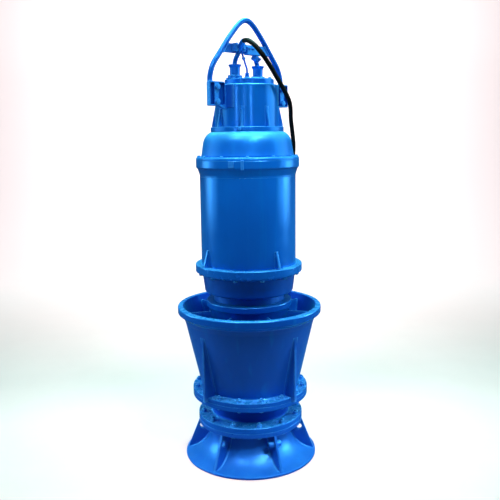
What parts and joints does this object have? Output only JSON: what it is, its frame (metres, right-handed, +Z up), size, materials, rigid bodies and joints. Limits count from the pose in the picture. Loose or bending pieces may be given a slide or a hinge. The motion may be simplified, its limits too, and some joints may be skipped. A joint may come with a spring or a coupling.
{
  "type": "axial flow pump",
  "caption": "Submersible axial flow pump standing on its ribbed suction bell, with a conical diffuser, enclosed motor, lifting bail and supply cable.",
  "frame": {"origin": "on the floor, at the centre of the suction bell's lip, on the pump's vertical axis", "axes": "+Z up along the pump's axis, -Y towards the viewer, +X to the viewer's right"},
  "size_m": [0.6872, 1.2159, 2.07],
  "materials": {
    "blue_enamel": "gloss enamel over cast iron and steel",
    "bronze": "cast and part machined",
    "black_rubber": "satin cable sheath",
    "shrink_sleeve": "shrunk end sleeve"
  },
  "bodies": {
    "root": {"suction_bell": "blue_enamel", "impeller_casing": "blue_enamel", "diffuser_shell": "blue_enamel", "diffuser_hub": "blue_enamel", "guide_vane_1": "blue_enamel", "guide_vane_2": "blue_enamel", "guide_vane_3": "blue_enamel", "guide_vane_4": "blue_enamel", "guide_vane_5": "blue_enamel", "guide_vane_6": "blue_enamel", "guide_vane_7": "blue_enamel", "motor_spigot": "blue_enamel", "oil_chamber": "blue_enamel", "motor_lower_flange": "blue_enamel", "motor_barrel": "blue_enamel", "motor_upper_flange": "blue_enamel", "motor_shoulder": "blue_enamel", "box_base_ring": "blue_enamel", "junction_box": "blue_enamel", "box_lid": "blue_enamel", "gland_left": "blue_enamel", "gland_right": "blue_enamel", "gland_control": "blue_enamel", "lead_left": "blue_enamel", "lead_right": "blue_enamel", "lead_control": "blue_enamel", "lifting_bail": "blue_enamel", "bail_plate_left": "blue_enamel", "bail_plate_right": "blue_enamel", "bail_crossbar": "blue_enamel", "supply_clamp": "blue_enamel", "lead_clamp": "blue_enamel", "impeller_hub": "bronze", "impeller_nose": "bronze", "impeller_blade_1": "bronze", "impeller_blade_2": "bronze", "impeller_blade_3": "bronze", "impeller_blade_4": "bronze", "supply_cable": "black_rubber", "cable_coil": "black_rubber", "cable_end_cap": "shrink_sleeve"}
  },
  "joints": []
}
